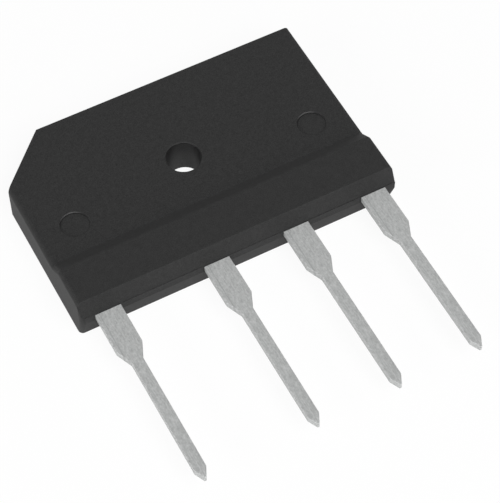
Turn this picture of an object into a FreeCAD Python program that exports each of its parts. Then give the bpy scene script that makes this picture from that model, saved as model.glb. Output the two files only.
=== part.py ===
import FreeCAD, Part
import math
import os

os.makedirs("parts", exist_ok=True)
V = FreeCAD.Vector

# A single in-line bridge rectifier lying on its flat back. Millimetres, +Z out of the front face.
# The origin is on the back face, on the axis of the screw hole. The leads leave along -Y, and the
# cut corner and the plus lead are at -X.

# Leads, outside the case. Their places along the case give it its width
first_lead_from_cut_end = 2.52
plus_pitch = 10.16
lead_pitch = 7.62
last_lead_from_plain_end = 2.2
lead_thickness = 0.65
lead_front_height = 2.82
shoulder_width = 2.36
shoulder_length = 4.0
taper_length = 1.5
blade_width = 1.06
lead_length = 17.6
tip_length = 0.9
tip_flat = 0.16

# Case, front view
case_height = 19.45
hole_from_cut_end = 14.95
hole_from_lead_wall = 10.6
hole_diameter = 3.1
hole_edge_round = 0.12
corner_cut = 4.9
lead_corner_round = 0.45

# Case, side view: a thin plate that steps up to a thicker part over the leads
thin_thickness = 3.6
step_height = 1.15
step_length = 1.42
thick_part_length = 4.26
parting_ledge = 0.06
band_margin = 0.08
lead_side_draft_front = 0.45
lead_side_draft_back = 0.53
top_draft_front = 0.05
top_draft_back = 0.2
plain_end_draft_front = 0.19
plain_end_draft_back = 0.32
end_edge_round = 0.45

# Shallow round marks that the ejector pins leave on the thin part of the front
mark_diameter = 2.6
mark_depth = 0.12
mark_spread = 23.0
mark_below_hole = 2.0

# Leads, inside the case: each steps down from the exit to a wide pad nearer the back
neck_straight = 1.4
jog_angle = 45.0
lead_bend_radius = 0.5
neck_to_pad = 2.9
ac_1_neck_join = 2.2
lock_hole_diameter = 0.8
lock_hole_from_wall = 0.75
pad_back_cover = 1.0
pad_edge_cover = 1.1
pad_gap = 1.1
hole_cover = 1.8
bus_width = 3.8
plus_riser_width = 3.2
minus_pad_width = 3.0

# Dice, jumpers and the solder between them
die_size = 3.4
die_thickness = 0.25
solder_thickness = 0.05
jumper_width = 2.2
jumper_thickness = 0.3
jumper_plate_length = 2.2
jumper_foot_length = 1.4
jumper_bend_radius = 0.35
bridge_rise = 0.55
jumper_edge_margin = 0.2

# Places along the case
case_width = first_lead_from_cut_end + plus_pitch + 2 * lead_pitch + last_lead_from_plain_end
x_cut_end = -hole_from_cut_end
x_plain_end = x_cut_end + case_width
x_plus = x_cut_end + first_lead_from_cut_end
x_ac_1 = x_plus + plus_pitch
x_ac_2 = x_ac_1 + lead_pitch
x_minus = x_ac_2 + lead_pitch

x_plus_pad = x_cut_end + pad_edge_cover
x_plus_riser_end = x_plus_pad + plus_riser_width
x_ac_1_pad = x_plus_riser_end + pad_gap
x_ac_1_pad_end = -hole_diameter / 2 - hole_cover
x_ac_2_pad = hole_diameter / 2 + hole_cover
x_minus_pad_end = x_plain_end - plain_end_draft_back - pad_edge_cover
x_minus_pad = x_minus_pad_end - minus_pad_width
x_ac_2_pad_end = x_minus_pad - pad_gap
x_dice_left = (x_ac_1_pad + x_ac_1_pad_end) / 2
x_dice_right = (x_ac_2_pad + x_ac_2_pad_end) / 2
x_minus_feet = (x_minus_pad + x_minus_pad_end) / 2

# Places from the lead side up to the top
y_lead_wall = -hole_from_lead_wall
y_top_wall = y_lead_wall + case_height
y_step_low = y_lead_wall + thick_part_length
y_step_high = y_step_low + step_length
y_jog_start = y_lead_wall + neck_straight
y_pad_foot = y_lead_wall + neck_to_pad
y_bus_top = y_top_wall - top_draft_back - pad_edge_cover
y_bus_foot = y_bus_top - bus_width
y_pad_top = y_bus_foot - pad_gap
y_dice_top = (y_bus_foot + y_bus_top) / 2
y_crossing = y_pad_foot + jumper_edge_margin + jumper_width / 2
y_feet_top = y_pad_top - jumper_edge_margin - jumper_foot_length / 2
y_dice_low = (y_crossing + jumper_width / 2 + y_feet_top - jumper_foot_length / 2) / 2

# Heights over the back face
thick_thickness = thin_thickness + step_height
band_bottom = lead_front_height - lead_thickness - band_margin
band_top = lead_front_height + band_margin
z_lead_middle = lead_front_height - lead_thickness / 2
z_pad_middle = pad_back_cover + lead_thickness / 2
z_pad = pad_back_cover + lead_thickness
z_die_base = z_pad + solder_thickness
z_die_top = z_die_base + die_thickness
z_plate_middle = z_die_top + solder_thickness + jumper_thickness / 2
z_bridge_middle = z_plate_middle + bridge_rise
z_foot_middle = z_pad + solder_thickness + jumper_thickness / 2


def prism(points, z_low, z_high):
    """Upright solid with an outline in X and Y."""
    corners = [V(x, y, z_low) for x, y in points]
    face = Part.Face(Part.makePolygon(corners + corners[:1]))
    return face.extrude(V(0, 0, z_high - z_low))


def side_prism(points, x_low, x_high):
    """Solid with an outline in Y and Z, as long as the case is wide."""
    corners = [V(x_low, y, z) for y, z in points]
    face = Part.Face(Part.makePolygon(corners + corners[:1]))
    return face.extrude(V(x_high - x_low, 0, 0))


def end_prism(points, y_low, y_high):
    """Solid with an outline in X and Z, as long as the case is high."""
    corners = [V(x, y_low, z) for x, z in points]
    face = Part.Face(Part.makePolygon(corners + corners[:1]))
    return face.extrude(V(0, y_high - y_low, 0))


def block(x, y, z, size_x, size_y, size_z):
    """Block centred on x and y, with its lower face at z."""
    return Part.makeBox(size_x, size_y, size_z, V(x - size_x / 2, y - size_y / 2, z))


def bend_reach(radius, angle):
    """How far a rounded bend reaches from its corner along each leg. The angle is in radians."""
    return radius * math.tan(abs(angle) / 2)


def jog_run(rise):
    """Length that a strip needs to change height by rise."""
    return rise / math.tan(math.radians(jog_angle))


def bent_strip(path, thickness, radius, place, width):
    """Strip of even thickness along a bent middle line, given by its corners in length and height.

    place turns length and height into a point, and width is the vector across the strip."""
    points = [V(s, z, 0) for s, z in path]
    ways = [(b - a).normalize() for a, b in zip(points, points[1:])]

    def left(way):
        return V(-way.y, way.x, 0)

    def side_edges(offset):
        start = points[0] + left(ways[0]) * offset
        edges = []
        for corner, way_in, way_out in zip(points[1:], ways, ways[1:]):
            turn = math.atan2(way_in.cross(way_out).z, way_in.dot(way_out))
            reach = bend_reach(radius, turn)
            sign = math.copysign(1, turn)
            enter = corner - way_in * reach
            leave = corner + way_out * reach
            centre = enter + left(way_in) * (radius * sign)
            outward = (corner - centre).normalize()
            arc_start = enter + left(way_in) * offset
            arc_middle = centre + outward * (radius - sign * offset)
            arc_end = leave + left(way_out) * offset
            edges.append((start, arc_start))
            edges.append((arc_start, arc_middle, arc_end))
            start = arc_end
        edges.append((start, points[-1] + left(ways[-1]) * offset))
        return edges

    upper = side_edges(thickness / 2)
    lower = side_edges(-thickness / 2)
    outline = upper + lower
    outline.append((upper[0][0], lower[0][0]))
    outline.append((upper[-1][-1], lower[-1][-1]))
    made = []
    for edge in outline:
        ends = [place(point.x, point.y) for point in edge]
        curve = Part.Arc(*ends) if len(ends) == 3 else Part.LineSegment(*ends)
        made.append(curve.toShape())
    wire = Part.Wire(Part.__sortEdges__(made))
    return Part.Face(wire).extrude(width)


def case_outline(x_low, x_high, y_low, y_high, z):
    """Outline of the case at height z, with the lead-side corner of the cut end rounded."""
    radius = lead_corner_round
    to_arc_middle = radius * (1 - math.sqrt(0.5))
    curves = [
        Part.LineSegment(V(x_low, y_high, z), V(x_low, y_low + radius, z)),
        Part.Arc(V(x_low, y_low + radius, z),
                 V(x_low + to_arc_middle, y_low + to_arc_middle, z),
                 V(x_low + radius, y_low, z)),
        Part.LineSegment(V(x_low + radius, y_low, z), V(x_high, y_low, z)),
        Part.LineSegment(V(x_high, y_low, z), V(x_high, y_high, z)),
        Part.LineSegment(V(x_high, y_high, z), V(x_low, y_high, z)),
    ]
    return Part.Wire([curve.toShape() for curve in curves])


def back_half():
    """Lower half of the case: walls that widen from the back face, then the band round the leads."""
    back = case_outline(x_cut_end, x_plain_end - plain_end_draft_back,
                        y_lead_wall + lead_side_draft_back, y_top_wall - top_draft_back, 0)
    band = case_outline(x_cut_end, x_plain_end, y_lead_wall, y_top_wall, band_bottom)
    drafted = Part.makeLoft([back, band], True, True)
    upright = Part.Face(band).extrude(V(0, 0, band_top - band_bottom))
    return drafted.fuse(upright).removeSplitter()


def front_half():
    """Upper half: it starts at the parting ledge, with a slanted step up to the thick part.

    The front edges of its two ends are rounded all along, over the step too. Last it is trimmed to
    the outline of the case, for the rounded corner."""
    side = side_prism([
        (y_lead_wall + parting_ledge, band_top),
        (y_lead_wall + parting_ledge + lead_side_draft_front, thick_thickness),
        (y_step_low, thick_thickness),
        (y_step_high, thin_thickness),
        (y_top_wall - top_draft_front, thin_thickness),
        (y_top_wall, band_top),
    ], x_cut_end, x_plain_end)
    ends = end_prism([
        (x_cut_end, band_top),
        (x_cut_end, thick_thickness),
        (x_plain_end - plain_end_draft_front, thick_thickness),
        (x_plain_end, band_top),
    ], y_lead_wall, y_top_wall)
    half = side.common(ends)
    z_between = (band_top + thin_thickness) / 2

    def is_end_edge(edge):
        first, last = [vertex.Point for vertex in edge.Vertexes]
        in_front = min(first.z, last.z) > z_between
        return in_front and abs(first.y - last.y) > abs(first.x - last.x)

    half = half.makeFillet(end_edge_round, [edge for edge in half.Edges if is_end_edge(edge)])
    outline = case_outline(x_cut_end, x_plain_end, y_lead_wall, y_top_wall, band_top)
    return half.common(Part.Face(outline).extrude(V(0, 0, thick_thickness - band_top)))


def corner_cutter():
    """Upright prism that takes the corner off at the plus end."""
    return prism([
        (x_cut_end, y_top_wall - corner_cut),
        (x_cut_end + corner_cut, y_top_wall),
        (x_cut_end, y_top_wall + corner_cut),
        (x_cut_end - corner_cut, y_top_wall),
    ], 0, thick_thickness)


def screw_hole():
    """Plain through hole with a rounded front edge."""
    rim_radius = hole_diameter / 2 + hole_edge_round
    z_rim = thin_thickness - hole_edge_round
    bore = Part.makeCylinder(hole_diameter / 2, thin_thickness)
    rim = Part.makeCylinder(rim_radius, hole_edge_round, V(0, 0, z_rim))
    rounding = Part.makeTorus(rim_radius, hole_edge_round, V(0, 0, z_rim))
    return bore.fuse(rim.cut(rounding))


def ejector_marks():
    """Two shallow discs, one each side of the middle of the case."""
    x_middle = (x_cut_end + x_plain_end) / 2
    marks = []
    for side in (-1, 1):
        centre = V(x_middle + side * mark_spread / 2, -mark_below_hole, thin_thickness - mark_depth)
        marks.append(Part.makeCylinder(mark_diameter / 2, mark_depth, centre))
    return marks


def case_outside():
    shape = back_half().fuse(front_half()).removeSplitter()
    shape = shape.cut(corner_cutter())
    shape = shape.cut(screw_hole())
    return shape.cut(ejector_marks())


def lead_strip():
    """Bent strip, as wide as the case, that every lead is stamped from."""
    path = [
        (y_lead_wall - lead_length, z_lead_middle),
        (y_jog_start, z_lead_middle),
        (y_jog_start + jog_run(z_lead_middle - z_pad_middle), z_pad_middle),
        (y_top_wall, z_pad_middle),
    ]
    return bent_strip(path, lead_thickness, lead_bend_radius,
                      lambda s, z: V(x_cut_end, s, z), V(case_width, 0, 0))


def lead(x, inside):
    """Lead at x: the tip, blade, taper and shoulder, then the points of its outline in the case."""
    y_shoulder = y_lead_wall - shoulder_length
    y_blade = y_shoulder - taper_length
    y_tip = y_lead_wall - lead_length
    outline = [
        (x - shoulder_width / 2, y_shoulder),
        (x - blade_width / 2, y_blade),
        (x - blade_width / 2, y_tip + tip_length),
        (x - tip_flat / 2, y_tip),
        (x + tip_flat / 2, y_tip),
        (x + blade_width / 2, y_tip + tip_length),
        (x + blade_width / 2, y_blade),
        (x + shoulder_width / 2, y_shoulder),
    ]
    stamped = prism(outline + inside, 0, thick_thickness)
    lock_hole = Part.makeCylinder(lock_hole_diameter / 2, thick_thickness,
                                  V(x, y_lead_wall + lock_hole_from_wall, 0))
    return lead_strip().common(stamped).cut(lock_hole)


def lead_plus():
    """Its pad runs up the cut end and along the top, where it carries dice 1 and 2.

    Along the pad's slanted edge, which follows the cut corner, y - x is always cut_line."""
    right = x_plus + shoulder_width / 2
    cut_line = y_top_wall - corner_cut - x_cut_end - pad_edge_cover * math.sqrt(2)
    return lead(x_plus, [
        (right, y_pad_foot),
        (x_plus_riser_end, y_pad_foot),
        (x_plus_riser_end, y_bus_foot),
        (x_ac_2_pad_end, y_bus_foot),
        (x_ac_2_pad_end, y_bus_top),
        (y_bus_top - cut_line, y_bus_top),
        (x_plus_pad, x_plus_pad + cut_line),
        (x_plus_pad, y_pad_foot),
        (right - shoulder_width, y_pad_foot),
    ])


def lead_ac_1():
    """Its pad lies left of the screw hole and carries die 3. The neck runs up beside the pad."""
    right = x_ac_1 + shoulder_width / 2
    y_join = y_pad_foot + ac_1_neck_join
    return lead(x_ac_1, [
        (right, y_join),
        (x_ac_1_pad_end, y_join + right - x_ac_1_pad_end),
        (x_ac_1_pad_end, y_pad_top),
        (x_ac_1_pad, y_pad_top),
        (x_ac_1_pad, y_pad_foot),
        (right - shoulder_width, y_pad_foot),
    ])


def lead_ac_2():
    """Its pad lies right of the screw hole and carries die 4."""
    right = x_ac_2 + shoulder_width / 2
    return lead(x_ac_2, [
        (right, y_pad_foot),
        (x_ac_2_pad_end, y_pad_foot),
        (x_ac_2_pad_end, y_pad_top),
        (x_ac_2_pad, y_pad_top),
        (x_ac_2_pad, y_pad_foot),
        (right - shoulder_width, y_pad_foot),
    ])


def lead_minus():
    """Its pad takes the feet of jumpers 3 and 4."""
    right = x_minus + shoulder_width / 2
    return lead(x_minus, [
        (right, y_pad_foot),
        (x_minus_pad_end, y_pad_foot),
        (x_minus_pad_end, y_pad_top),
        (x_minus_pad, y_pad_top),
        (x_minus_pad, y_pad_foot),
        (right - shoulder_width, y_pad_foot),
    ])


def rise_path():
    """Middle line of a jumper from the far end of its plate on the die up to the bridge."""
    half_plate = jumper_plate_length / 2
    bend = half_plate + bend_reach(jumper_bend_radius, math.radians(jog_angle))
    return [
        (-half_plate, z_plate_middle),
        (bend, z_plate_middle),
        (bend + jog_run(bridge_rise), z_bridge_middle),
    ]


def fall_path(span):
    """Middle line of a jumper from the bridge down to its foot, whose centre is at span."""
    half_foot = jumper_foot_length / 2
    bend = span - half_foot - bend_reach(jumper_bend_radius, math.radians(jog_angle))
    return [
        (bend - jog_run(z_bridge_middle - z_foot_middle), z_bridge_middle),
        (bend, z_foot_middle),
        (span + half_foot, z_foot_middle),
    ]


def jumper_along_x(x, y, path):
    return bent_strip(path, jumper_thickness, jumper_bend_radius,
                      lambda s, z: V(x + s, y - jumper_width / 2, z), V(0, jumper_width, 0))


def jumper_down_y(x, y, path):
    return bent_strip(path, jumper_thickness, jumper_bend_radius,
                      lambda s, z: V(x - jumper_width / 2, y - s, z), V(jumper_width, 0, 0))


def jumper_to_ac(x):
    """From die 1 or 2 straight down to the top of an AC pad."""
    return jumper_down_y(x, y_dice_top, rise_path() + fall_path(y_dice_top - y_feet_top))


def jumper_crossing():
    """From die 3 down, then over both AC leads in the thick part of the case to the minus pad."""
    corner = y_dice_low - y_crossing + jumper_width / 2
    first_leg = jumper_down_y(x_dice_left, y_dice_low, rise_path() + [(corner, z_bridge_middle)])
    second_leg = jumper_along_x(x_dice_left, y_crossing,
                                [(-jumper_width / 2, z_bridge_middle)]
                                + fall_path(x_minus_feet - x_dice_left))
    return first_leg.fuse(second_leg).removeSplitter()


def jumper_to_minus():
    """From die 4 straight across to the minus pad."""
    return jumper_along_x(x_dice_right, y_dice_low,
                          rise_path() + fall_path(x_minus_feet - x_dice_right))


def joined_die(number, die_place, plate_size, jumper, foot_place, foot_size):
    """A die and its jumper, with the solder under the die, over it and under the jumper's foot."""
    return {
        f"die_{number}": block(*die_place, z_die_base, die_size, die_size, die_thickness),
        f"jumper_{number}": jumper,
        f"solder_base_{number}": block(*die_place, z_pad, die_size, die_size, solder_thickness),
        f"solder_top_{number}": block(*die_place, z_die_top, *plate_size, solder_thickness),
        f"solder_foot_{number}": block(*foot_place, z_pad, *foot_size, solder_thickness),
    }


plate_down_y = (jumper_width, jumper_plate_length)
plate_along_x = (jumper_plate_length, jumper_width)
foot_down_y = (jumper_width, jumper_foot_length)
foot_along_x = (jumper_foot_length, jumper_width)

inner = {
    "lead_plus": lead_plus(),
    "lead_ac_1": lead_ac_1(),
    "lead_ac_2": lead_ac_2(),
    "lead_minus": lead_minus(),
    **joined_die(1, (x_dice_left, y_dice_top), plate_down_y, jumper_to_ac(x_dice_left),
                 (x_dice_left, y_feet_top), foot_down_y),
    **joined_die(2, (x_dice_right, y_dice_top), plate_down_y, jumper_to_ac(x_dice_right),
                 (x_dice_right, y_feet_top), foot_down_y),
    **joined_die(3, (x_dice_left, y_dice_low), plate_down_y, jumper_crossing(),
                 (x_minus_feet, y_crossing), foot_along_x),
    **joined_die(4, (x_dice_right, y_dice_low), plate_along_x, jumper_to_minus(),
                 (x_minus_feet, y_dice_low), foot_along_x),
}
case = case_outside().cut(list(inner.values()))

for name, shape in {"case": case, **inner}.items():
    print(name, "solids", len(shape.Solids), "valid", shape.isValid(),
          "volume", round(shape.Volume, 3))
    shape.Solids[0].exportStep(f"parts/{name}.step")
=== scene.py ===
import bmesh
import bpy
import math
from mathutils import Matrix, Vector


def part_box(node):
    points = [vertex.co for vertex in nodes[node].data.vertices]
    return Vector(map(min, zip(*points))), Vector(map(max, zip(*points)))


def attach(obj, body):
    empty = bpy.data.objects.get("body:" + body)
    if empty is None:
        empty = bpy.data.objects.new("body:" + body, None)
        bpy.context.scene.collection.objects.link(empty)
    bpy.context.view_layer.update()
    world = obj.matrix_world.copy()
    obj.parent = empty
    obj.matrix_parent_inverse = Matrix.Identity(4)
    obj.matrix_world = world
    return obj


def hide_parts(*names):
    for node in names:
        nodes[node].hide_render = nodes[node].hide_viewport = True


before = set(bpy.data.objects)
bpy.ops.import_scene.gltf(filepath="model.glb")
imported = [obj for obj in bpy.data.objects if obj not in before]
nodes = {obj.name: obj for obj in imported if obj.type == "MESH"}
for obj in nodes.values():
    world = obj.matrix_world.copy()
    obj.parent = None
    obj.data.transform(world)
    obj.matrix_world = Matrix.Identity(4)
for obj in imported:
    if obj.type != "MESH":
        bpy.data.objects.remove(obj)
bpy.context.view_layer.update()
bpy.ops.object.select_all(action="DESELECT")

# Camera. It looks down on the front face from the side of the leads and from the left, through a
# long lens, and aims at the wall that the leads come out of.
millimetre = 0.001
aim = Vector((0.93, -10.53, 2.0)) * millimetre
azimuth = math.radians(-27.87)
elevation = math.radians(55.99)
roll = math.radians(-0.23)
distance = 161.3 * millimetre

turn = Matrix.Rotation(azimuth, 3, "Z") @ Matrix.Rotation(math.pi / 2 - elevation, 3, "X")
turn = turn @ Matrix.Rotation(roll, 3, "Z")
bpy.ops.object.camera_add()
camera = bpy.context.object
camera.matrix_world = Matrix.LocRotScale(aim + turn @ Vector((0, 0, distance)), turn, None)
camera.data.sensor_fit = "HORIZONTAL"
camera.data.sensor_width = 36.0
camera.data.lens = 136.42
camera.data.clip_start = 10 * millimetre
camera.select_set(False)
bpy.context.scene.camera = camera


# Solder under each die, over it and under each jumper's foot. It is a soft lead alloy that melts
# and wets the metal in a reflow oven, and it sets with a dull, faintly crystalline skin.
class Varying:
    """A number or a colour that changes over a surface. Operators on numbers add Math nodes."""

    def __init__(self, finish, socket):
        self.finish = finish
        self.socket = socket

    def maths(self, operation, first, second=0.0):
        return self.finish.node("ShaderNodeMath", {"operation": operation}, {0: first, 1: second})

    def __add__(self, other):
        return self.maths("ADD", self, other)

    def __sub__(self, other):
        return self.maths("SUBTRACT", self, other)

    def __rsub__(self, other):
        return self.maths("SUBTRACT", other, self)

    def __mul__(self, other):
        return self.maths("MULTIPLY", self, other)

    def magnitude(self):
        return self.maths("ABSOLUTE", self)

    __radd__ = __add__
    __rmul__ = __mul__


class Finish:
    """A node tree while it is made. node() adds a node, sets it up and hands back its output."""

    def __init__(self, owner):
        owner.use_nodes = True
        self.owner = owner
        self.tree = owner.node_tree

    def node(self, kind, settings, inputs, output=0):
        made = self.tree.nodes.new(kind)
        for name, value in settings.items():
            setattr(made, name, value)
        for name, value in inputs.items():
            self.feed(made.inputs[name], value)
        return Varying(self, made.outputs[output])

    def feed(self, socket, value):
        if isinstance(value, Varying):
            self.tree.links.new(value.socket, socket)
        else:
            socket.default_value = value

    def surface(self, inputs):
        """Sets or links the sockets of the surface shader that the material came with."""
        shader = self.tree.nodes["Principled BSDF"]
        for name, value in inputs.items():
            self.feed(shader.inputs[name], value)

    def place(self, origin, unit=(1.0, 1.0, 1.0)):
        """Place on the object, counted from the origin in units of so many metres on each axis."""
        return self.node("ShaderNodeMapping", {"vector_type": "TEXTURE"}, {
            "Vector": self.node("ShaderNodeTexCoord", {}, {}, "Object"),
            "Location": origin,
            "Scale": unit,
        })

    def grain(self, cell, detail, origin=(0.0, 0.0, 0.0)):
        """Noise round 0. cell is how long its cells are along X, Y and Z, in millimetres."""
        noise = self.node("ShaderNodeTexNoise", {}, {
            "Vector": self.place(origin, [length * millimetre for length in cell]),
            "Scale": 1.0,
            "Detail": detail,
            "Roughness": 0.6,
        })
        return noise - 0.5

    def along(self, direction, origin):
        """How far a point lies from the origin along a direction."""
        return self.node("ShaderNodeVectorMath", {"operation": "DOT_PRODUCT"}, {
            0: self.place(origin),
            1: direction,
        }, "Value")

    def off_axis(self, origin):
        """How far a point lies from an upright axis through the origin."""
        in_plan = self.node("ShaderNodeVectorMath", {"operation": "MULTIPLY"}, {
            0: self.place(origin),
            1: (1.0, 1.0, 0.0),
        })
        return self.node("ShaderNodeVectorMath", {"operation": "LENGTH"}, {0: in_plan}, "Value")

    def fade(self, amount, start, end):
        """1 where the amount is under start, 0 where it is over end, and in between a ramp."""
        return self.node("ShaderNodeMapRange", {}, {
            "Value": amount,
            "From Min": start,
            "From Max": end,
            "To Min": 1.0,
            "To Max": 0.0,
        })

    def mix(self, share, dark, light):
        """Colour between dark and light, where share runs from 0 to 1."""
        # The node's colours are its inputs 6 and 7, and the mixed colour is its output 2.
        return self.node("ShaderNodeMix", {"data_type": "RGBA"}, {
            0: share,
            6: (*dark, 1.0),
            7: (*light, 1.0),
        }, 2)

    def bump(self, height, depth):
        """Relief of a surface, where a height from 0 to 1 spans depth in millimetres."""
        return self.node("ShaderNodeBump", {}, {
            "Strength": 1.0,
            "Distance": depth * millimetre,
            "Height": height,
        })


def coat_nodes(first_word, finish):
    """Gives the finish to every CAD node whose name starts with that word."""
    for name, node in nodes.items():
        if name.startswith(first_word):
            node.data.materials.clear()
            node.data.materials.append(finish.owner)


solder_dull = (0.38, 0.39, 0.41)
solder_bright = (0.56, 0.57, 0.59)
solder = Finish(bpy.data.materials.new("reflowed_solder"))
crystals = solder.grain(cell=(0.12, 0.12, 0.12), detail=2.0)
solder.surface({
    "Base Color": solder.mix(crystals + 0.5, solder_dull, solder_bright),
    "Metallic": 1.0,
    "Roughness": 0.45 + 0.4 * crystals,
    "Normal": solder.bump(crystals, depth=0.004),
})
coat_nodes("solder", solder)

# The four dice. Each is a sawn square of silicon, polished and lightly streaked by the saw, and
# lies on its pad with the cathode down.
silicon_dark = (0.06, 0.065, 0.085)
silicon_pale = (0.11, 0.12, 0.15)
silicon = Finish(bpy.data.materials.new("sawn_silicon"))
saw_marks = silicon.grain(cell=(0.6, 0.03, 0.6), detail=3.0)
silicon.surface({
    "Base Color": silicon.mix(saw_marks + 0.5, silicon_dark, silicon_pale),
    "Metallic": 0.6,
    "Roughness": 0.28 + 0.3 * saw_marks,
    "Normal": silicon.bump(saw_marks, depth=0.001),
})
coat_nodes("die", silicon)

# The four jumpers. They are stamped from bare rolled copper and bent to arch over the edge of the
# die down to the next lead. The reflow oven leaves a faint brown tarnish.
copper_brown = (0.50, 0.22, 0.12)
copper_bright = (0.80, 0.42, 0.27)
copper = Finish(bpy.data.materials.new("bare_copper"))
rolling = copper.grain(cell=(0.05, 0.8, 0.05), detail=3.0)
tarnish = copper.grain(cell=(0.9, 0.9, 0.9), detail=2.0)
copper.surface({
    "Base Color": copper.mix(tarnish + rolling + 0.5, copper_brown, copper_bright),
    "Metallic": 1.0,
    "Roughness": 0.34 + 0.35 * tarnish,
    "Normal": copper.bump(rolling, depth=0.002),
})
coat_nodes("jumper", copper)

# The four leads. They are punched from one copper strip, which rounds their edges a little, and
# bent down to their pads. The tin plate over them is matte, with fine drawn streaks and one
# scored line along each, which the bump sinks and which is painted darker as its shade.
case_low, case_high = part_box("case")
edge_round = 0.05 * millimetre
round_steps = 3
same_place = 0.001 * millimetre
flat_angle = math.radians(0.5)
sharp_angle = math.radians(20)
smooth_angle = math.radians(30)
tin_dark = (0.29, 0.297, 0.294)
tin_pale = (0.47, 0.477, 0.474)
across = (1.0, 0.0, 0.0)
score_off_middle = 0.84 * millimetre
score_start = 0.02 * millimetre
score_end = 0.06 * millimetre


def rounded_copy(source, name, rounding, is_picked):
    """Piece that stands for a CAD node: its picked sharp edges are rounded. Returns the piece."""
    piece = bpy.data.objects.new(name, nodes[source].data.copy())
    bpy.context.scene.collection.objects.link(piece)
    bpy.context.view_layer.objects.active = piece
    piece.select_set(True)
    bpy.ops.object.mode_set(mode="EDIT")
    bpy.ops.mesh.customdata_custom_splitnormals_clear()
    bpy.ops.mesh.select_all(action="SELECT")
    bpy.ops.mesh.remove_doubles(threshold=same_place)
    bpy.ops.mesh.dissolve_limited(angle_limit=flat_angle)
    bpy.ops.mesh.select_mode(type="EDGE")
    bpy.ops.mesh.select_all(action="DESELECT")
    mesh = bmesh.from_edit_mesh(piece.data)
    for edge in mesh.edges:
        is_sharp = edge.is_convex and edge.calc_face_angle() > sharp_angle
        edge.select_set(is_sharp and is_picked(edge))
    bmesh.update_edit_mesh(piece.data)
    bpy.ops.mesh.bevel(offset=rounding, segments=round_steps, affect="EDGES")
    bpy.ops.object.mode_set(mode="OBJECT")
    bpy.ops.object.shade_smooth_by_angle(angle=smooth_angle)
    evened = piece.modifiers.new("evened", "WEIGHTED_NORMAL")
    evened.keep_sharp = True
    bpy.ops.object.modifier_apply(modifier=evened.name)
    piece.select_set(False)
    piece.data.materials.clear()
    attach(piece, "root")
    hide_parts(source)
    return piece


exit_heights = []
for end in ("plus", "ac_1", "ac_2", "minus"):
    lead = rounded_copy(f"lead_{end}", f"plated_lead_{end}", edge_round, lambda edge: True)
    outside = [vertex.co for vertex in lead.data.vertices if vertex.co.y < case_low.y]
    exit_heights += [point.z for point in outside]
    middle = (max(point.x for point in outside) + min(point.x for point in outside)) / 2
    origin = (middle, case_low.y, 0.0)
    tin = Finish(bpy.data.materials.new(f"matte_tin_plate_{end}"))
    streaks = tin.grain(cell=(0.10, 0.7, 0.10), detail=3.0, origin=origin)
    speckle = tin.grain(cell=(0.12, 0.17, 0.12), detail=2.0, origin=origin)
    off_score = (tin.along(across, origin) + score_off_middle).magnitude()
    # The scored line: the bump sinks it, and its colour is painted darker as the shade in its crease.
    score_line_and_shade = tin.fade(off_score, score_start, score_end)
    tone = 1.75 * streaks + 1.7 * speckle - 0.4 * score_line_and_shade
    tin.surface({
        "Base Color": tin.mix(tone + 0.5, tin_dark, tin_pale),
        "Metallic": 0.05,
        "Roughness": 0.5 + 0.3 * speckle,
        "Normal": tin.bump(tone, depth=0.003),
    })
    lead.data.materials.append(tin.owner)

# The case. It is black epoxy with a mineral filler, moulded round the leads in a two-part mould
# whose spark-eroded walls leave an even fine grain. Its outer edges are slightly rounded. The screw
# hole and the two round marks of the mould's pins carry painted shade, highlight and reflection.
wall_cover = 0.8 * millimetre
front_cover = 2 * wall_cover
exit_low = min(exit_heights) - same_place
exit_high = max(exit_heights) + same_place
mould_edge_round = 0.03 * millimetre
epoxy_black = (0.002, 0.002, 0.002)
epoxy_grey = (0.104, 0.104, 0.104)
face_shade = 0.167
upward = (0.0, 0.0, 1.0)
backward = (0.0, 1.0, 0.0)


def is_sealed(point):
    """True for a point of the slots and hollows that the leads, dice and jumpers fill."""
    in_plan = all(case_low[i] + wall_cover < point[i] < case_high[i] - wall_cover for i in (0, 1))
    in_hollow = in_plan and wall_cover < point.z < case_high.z - front_cover
    return in_hollow or exit_low < point.z < exit_high


def is_outer(edge):
    """True for an edge that has neither end in those slots and hollows."""
    return not any(is_sealed(vertex.co) for vertex in edge.verts)


case = rounded_copy("case", "moulded_case", mould_edge_round, is_outer)
epoxy = Finish(bpy.data.materials.new("black_filled_epoxy"))
fine = epoxy.grain(cell=(0.07, 0.07, 0.07), detail=2.0)
mottle = epoxy.grain(cell=(0.45, 0.45, 0.45), detail=2.0)

# Painted shade darkens the screw hole's wall. One side is smoother, with a painted reflection low
# down.
hole_axis = (0.0, 0.0, 0.0)
hole_radius = 1.55 * millimetre
hole_edge = (hole_radius + 0.01 * millimetre, hole_radius + 0.05 * millimetre)
smooth_side = (0.47, 0.88, 0.0)
smooth_reach = (0.7 * millimetre, 1.5 * millimetre)
low_reach = (0.2 * millimetre, 2.8 * millimetre)
painted_hole_shade = 0.15
painted_reflection_strength = 0.38
in_hole = epoxy.fade(epoxy.off_axis(hole_axis), *hole_edge)
smooth_and_reflection_side = 1.0 - epoxy.fade(epoxy.along(smooth_side, hole_axis), *smooth_reach)
low_down = epoxy.fade(epoxy.along(upward, hole_axis), *low_reach)
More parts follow.
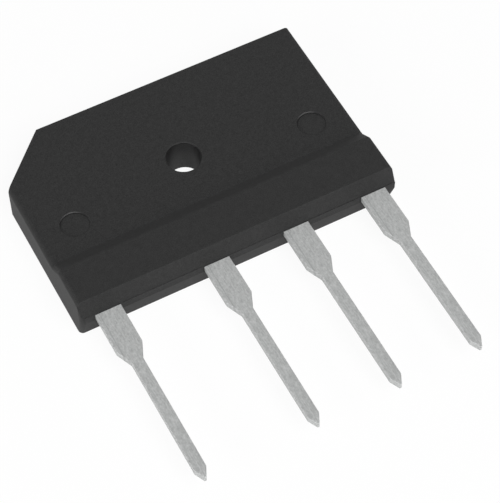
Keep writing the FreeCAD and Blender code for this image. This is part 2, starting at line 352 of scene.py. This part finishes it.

# The far wall of the two ejector marks is painted paler as a highlight, with painted shade along its
# foot.
mark_radius = 1.3 * millimetre
mark_spread = 23.0 * millimetre
mark_below_hole = 2.0 * millimetre
mark_edge = (mark_radius + 0.01 * millimetre, mark_radius + 0.02 * millimetre)
wall_foot = (mark_radius - 0.03 * millimetre, mark_radius - 0.01 * millimetre)
foot_shade_edge = (mark_radius - 0.16 * millimetre, mark_radius - 0.08 * millimetre)
wall_highlight_reach = (0.85 * millimetre, 1.28 * millimetre)
foot_shade_reach = (-0.2 * millimetre, 0.6 * millimetre)
wall_highlight_strength = 0.62
foot_shade_strength = 0.12
painted_wall_highlight = 0.0
painted_foot_shade = 0.0
for side in (-1, 1):
    mark_x = (case_low.x + case_high.x) / 2 + side * mark_spread / 2
    centre = (mark_x, -mark_below_hole, 0.0)
    off_centre = epoxy.off_axis(centre)
    behind_centre = epoxy.along(backward, centre)
    in_mark = epoxy.fade(off_centre, *mark_edge)
    on_floor = epoxy.fade(off_centre, *wall_foot)
    on_floor_inside_shade = epoxy.fade(off_centre, *foot_shade_edge)
    # Painted highlight on the far wall of the mark.
    painted_wall_highlight = painted_wall_highlight + (in_mark - on_floor) * (1.0 - epoxy.fade(behind_centre, *wall_highlight_reach))
    # Painted shade along the foot of that wall, on the mark's floor.
    painted_foot_shade = painted_foot_shade + (on_floor - on_floor_inside_shade) * (1.0 - epoxy.fade(behind_centre, *foot_shade_reach))

shade = face_shade + 0.52 * fine + 0.1 * mottle
# Painted shade in the screw hole, and a painted reflection low down on its smoother side.
shade = shade + in_hole * (painted_reflection_strength * low_down * smooth_and_reflection_side - painted_hole_shade)
# Painted highlight and painted shade of the two ejector marks.
shade = shade + wall_highlight_strength * painted_wall_highlight - foot_shade_strength * painted_foot_shade
epoxy.surface({
    "Base Color": epoxy.mix(shade, epoxy_black, epoxy_grey),
    "Roughness": 0.62 + 0.2 * fine + in_hole * (0.05 - 0.28 * smooth_and_reflection_side),
    "Specular IOR Level": 0.18,
    "Normal": epoxy.bump(fine + 0.5 * mottle, depth=0.006),
})
case.data.materials.append(epoxy.owner)

# Floor, light and background. The floor is white to the camera and in reflections, and still takes
# the soft shadow of the part. Wide lamps stand in front, high and low, and low at the left.
floor_size = 3.0
floor_glow = 0.93
room_light = 0.03
room_white = 0.99
lamp_size = 0.4
lamps = {
    "lamp_front_high": ((0.05, -0.38, 0.52), 3.7),
    "lamp_front_low": ((0.05, -0.60, 0.20), 1.36),
    "lamp_left_low": ((-0.60, -0.10, 0.20), 2.85),
}
paper_white = (0.9, 0.9, 0.9, 1.0)
white = (1.0, 1.0, 1.0, 1.0)


def seen_directly(finish):
    """1 for a ray from the camera, or one that a shiny or clear surface sends on, and else 0."""
    camera_ray = finish.node("ShaderNodeLightPath", {}, {}, "Is Camera Ray")
    glossy_ray = finish.node("ShaderNodeLightPath", {}, {}, "Is Glossy Ray")
    clear_ray = finish.node("ShaderNodeLightPath", {}, {}, "Is Transmission Ray")
    return camera_ray + glossy_ray + clear_ray


bpy.ops.mesh.primitive_plane_add(size=floor_size)
floor = bpy.context.object
floor.name = "floor"
floor.select_set(False)
paper = Finish(bpy.data.materials.new("white_paper"))
paper.surface({"Base Color": paper_white, "Roughness": 0.9, "Specular IOR Level": 0.0})
glow = paper.node("ShaderNodeEmission", {}, {"Color": white, "Strength": 1.0})
blend = paper.node("ShaderNodeMixShader", {}, {
    0: seen_directly(paper) * floor_glow,
    1: Varying(paper, paper.tree.nodes["Principled BSDF"].outputs[0]),
    2: glow,
})
paper.tree.links.new(blend.socket, paper.tree.nodes["Material Output"].inputs["Surface"])
floor.data.materials.append(paper.owner)

bpy.context.scene.world = bpy.data.worlds.new("room")
room = Finish(bpy.context.scene.world)
background = room.tree.nodes["Background"]
room.feed(background.inputs["Color"], white)
room.feed(background.inputs["Strength"], room_light + (room_white - room_light) * seen_directly(room))

for name, (place, watts) in lamps.items():
    bpy.ops.object.light_add(type="AREA", location=place)
    lamp = bpy.context.object
    lamp.name = name
    lamp.rotation_euler = (-Vector(place)).to_track_quat("-Z", "Y").to_euler()
    lamp.data.size = lamp_size
    lamp.data.energy = watts
    lamp.select_set(False)

bpy.context.scene.view_settings.view_transform = "Standard"
